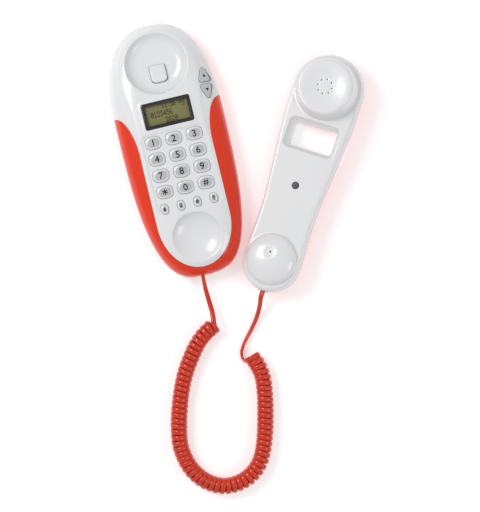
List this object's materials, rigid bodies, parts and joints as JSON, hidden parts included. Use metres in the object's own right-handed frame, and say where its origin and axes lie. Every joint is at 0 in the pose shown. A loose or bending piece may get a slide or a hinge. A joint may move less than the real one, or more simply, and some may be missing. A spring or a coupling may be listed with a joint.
{
  "type": "slimline wall phone",
  "caption": "Slimline corded wall phone: egg-shaped base with keypad, small display and cradle, windowed handset lying beside it, and a curly cord.",
  "frame": {"origin": "centre of the wall pad on the back of the base, midway between the two keyholes; on the surface that the phone lies on", "axes": "+Z away from the wall, out of the keypad's face; +Y along the base towards its ear end (up on a wall); +X to the keypad's right"},
  "size_m": [0.2229, 0.3929, 0.0401],
  "materials": {
    "white_shell": "gloss moulded plastic",
    "orange_shell": "high gloss moulded plastic",
    "key_cap": "satin plastic under a clear gloss cap",
    "arrow_cap": "satin grey plastic",
    "display_frame": "gloss black",
    "display_window": "clear, polished",
    "display_panel": "satin, olive",
    "dark_plastic": "satin",
    "rubber": "matt",
    "circuit_board": "satin solder mask",
    "steel": "plated",
    "brass": "plain",
    "battery_sleeve": "satin film",
    "clear_plug": "clear polycarbonate",
    "cord_jacket": "gloss flexible plastic"
  },
  "bodies": {
    "base": {"front_cover": "white_shell", "rear_housing": "orange_shell", "display_bezel": "display_frame", "display_lens": "display_window", "display_holder": "white_shell", "display_glass": "display_panel", "main_board": "circuit_board", "keypad_mat": "rubber", "arrow_key_mat": "rubber", "ringer_disc": "brass", "hook_switch": "dark_plastic", "hook_spring": "steel", "line_jack": "dark_plastic", "base_cord_jack": "dark_plastic", "base_screws": "steel", "rubber_feet": "rubber", "battery_cells": "battery_sleeve", "battery_contacts": "steel", "ringer_switch_body": "dark_plastic", "base_plug": "clear_plug", "base_lead": "cord_jacket", "cord_coil": "cord_jacket"},
    "handset": {"handset_face": "white_shell", "handset_back": "orange_shell", "receiver_capsule": "steel", "receiver_ring": "dark_plastic", "microphone": "steel", "microphone_boot": "rubber", "handset_weight": "steel", "handset_cord_jack": "dark_plastic", "handset_screw": "steel", "handset_screw_plug": "dark_plastic", "handset_plug": "clear_plug", "handset_lead": "cord_jacket"},
    "hook_plunger": {"hook_plunger": "white_shell"},
    "handset_clip": {"handset_clip": "white_shell"},
    "battery_door": {"battery_door": "orange_shell"},
    "ringer_switch_knob": {"ringer_switch_knob": "dark_plastic"},
    "key_1": {"key_1": "key_cap"},
    "key_2": {"key_2": "key_cap"},
    "key_3": {"key_3": "key_cap"},
    "key_4": {"key_4": "key_cap"},
    "key_5": {"key_5": "key_cap"},
    "key_6": {"key_6": "key_cap"},
    "key_7": {"key_7": "key_cap"},
    "key_8": {"key_8": "key_cap"},
    "key_9": {"key_9": "key_cap"},
    "key_star": {"key_star": "key_cap"},
    "key_0": {"key_0": "key_cap"},
    "key_hash": {"key_hash": "key_cap"},
    "function_key_1": {"function_key_1": "key_cap"},
    "function_key_2": {"function_key_2": "key_cap"},
    "function_key_3": {"function_key_3": "key_cap"},
    "function_key_4": {"function_key_4": "key_cap"},
    "key_up": {"key_up": "arrow_cap"},
    "key_down": {"key_down": "arrow_cap"}
  },
  "joints": [
    {"name": "handset_lift", "type": "slide", "parent": "base", "child": "handset", "axis": [0, 0, 1], "range_m": [0, 0.06]},
    {"name": "hook_plunger_press", "type": "slide", "parent": "base", "child": "hook_plunger", "axis": [0, 0, -1], "range_m": [0, 0.0035], "stiffness_N_per_m": 150, "deforming": ["hook_spring"]},
    {"name": "handset_clip_pull", "type": "slide", "parent": "base", "child": "handset_clip", "axis": [0, 0, 1], "range_m": [0, 0.005]},
    {"name": "battery_door_slide", "type": "slide", "parent": "base", "child": "battery_door", "axis": [0, -1, 0], "range_m": [0, 0.034]},
    {"name": "ringer_switch_slide", "type": "slide", "parent": "base", "child": "ringer_switch_knob", "axis": [1, 0, 0], "range_m": [0, 0.004]},
    {"name": "key_1_press", "type": "slide", "parent": "base", "child": "key_1", "axis": [0, 0, -1], "range_m": [0, 0.0015], "stiffness_N_per_m": 600},
    {"name": "key_2_press", "type": "slide", "parent": "base", "child": "key_2", "axis": [0, 0, -1], "range_m": [0, 0.0015], "stiffness_N_per_m": 600},
    {"name": "key_3_press", "type": "slide", "parent": "base", "child": "key_3", "axis": [0, 0, -1], "range_m": [0, 0.0015], "stiffness_N_per_m": 600},
    {"name": "key_4_press", "type": "slide", "parent": "base", "child": "key_4", "axis": [0, 0, -1], "range_m": [0, 0.0015], "stiffness_N_per_m": 600},
    {"name": "key_5_press", "type": "slide", "parent": "base", "child": "key_5", "axis": [0, 0, -1], "range_m": [0, 0.0015], "stiffness_N_per_m": 600},
    {"name": "key_6_press", "type": "slide", "parent": "base", "child": "key_6", "axis": [0, 0, -1], "range_m": [0, 0.0015], "stiffness_N_per_m": 600},
    {"name": "key_7_press", "type": "slide", "parent": "base", "child": "key_7", "axis": [0, 0, -1], "range_m": [0, 0.0015], "stiffness_N_per_m": 600},
    {"name": "key_8_press", "type": "slide", "parent": "base", "child": "key_8", "axis": [0, 0, -1], "range_m": [0, 0.0015], "stiffness_N_per_m": 600},
    {"name": "key_9_press", "type": "slide", "parent": "base", "child": "key_9", "axis": [0, 0, -1], "range_m": [0, 0.0015], "stiffness_N_per_m": 600},
    {"name": "key_star_press", "type": "slide", "parent": "base", "child": "key_star", "axis": [0, 0, -1], "range_m": [0, 0.0015], "stiffness_N_per_m": 600},
    {"name": "key_0_press", "type": "slide", "parent": "base", "child": "key_0", "axis": [0, 0, -1], "range_m": [0, 0.0015], "stiffness_N_per_m": 600},
    {"name": "key_hash_press", "type": "slide", "parent": "base", "child": "key_hash", "axis": [0, 0, -1], "range_m": [0, 0.0015], "stiffness_N_per_m": 600},
    {"name": "function_key_1_press", "type": "slide", "parent": "base", "child": "function_key_1", "axis": [0, 0, -1], "range_m": [0, 0.0015], "stiffness_N_per_m": 600},
    {"name": "function_key_2_press", "type": "slide", "parent": "base", "child": "function_key_2", "axis": [0, 0, -1], "range_m": [0, 0.0015], "stiffness_N_per_m": 600},
    {"name": "function_key_3_press", "type": "slide", "parent": "base", "child": "function_key_3", "axis": [0, 0, -1], "range_m": [0, 0.0015], "stiffness_N_per_m": 600},
    {"name": "function_key_4_press", "type": "slide", "parent": "base", "child": "function_key_4", "axis": [0, 0, -1], "range_m": [0, 0.0015], "stiffness_N_per_m": 600},
    {"name": "key_up_press", "type": "slide", "parent": "base", "child": "key_up", "axis": [0, 0, -1], "range_m": [0, 0.0015], "stiffness_N_per_m": 600},
    {"name": "key_down_press", "type": "slide", "parent": "base", "child": "key_down", "axis": [0, 0, -1], "range_m": [0, 0.0015], "stiffness_N_per_m": 600}
  ]
}
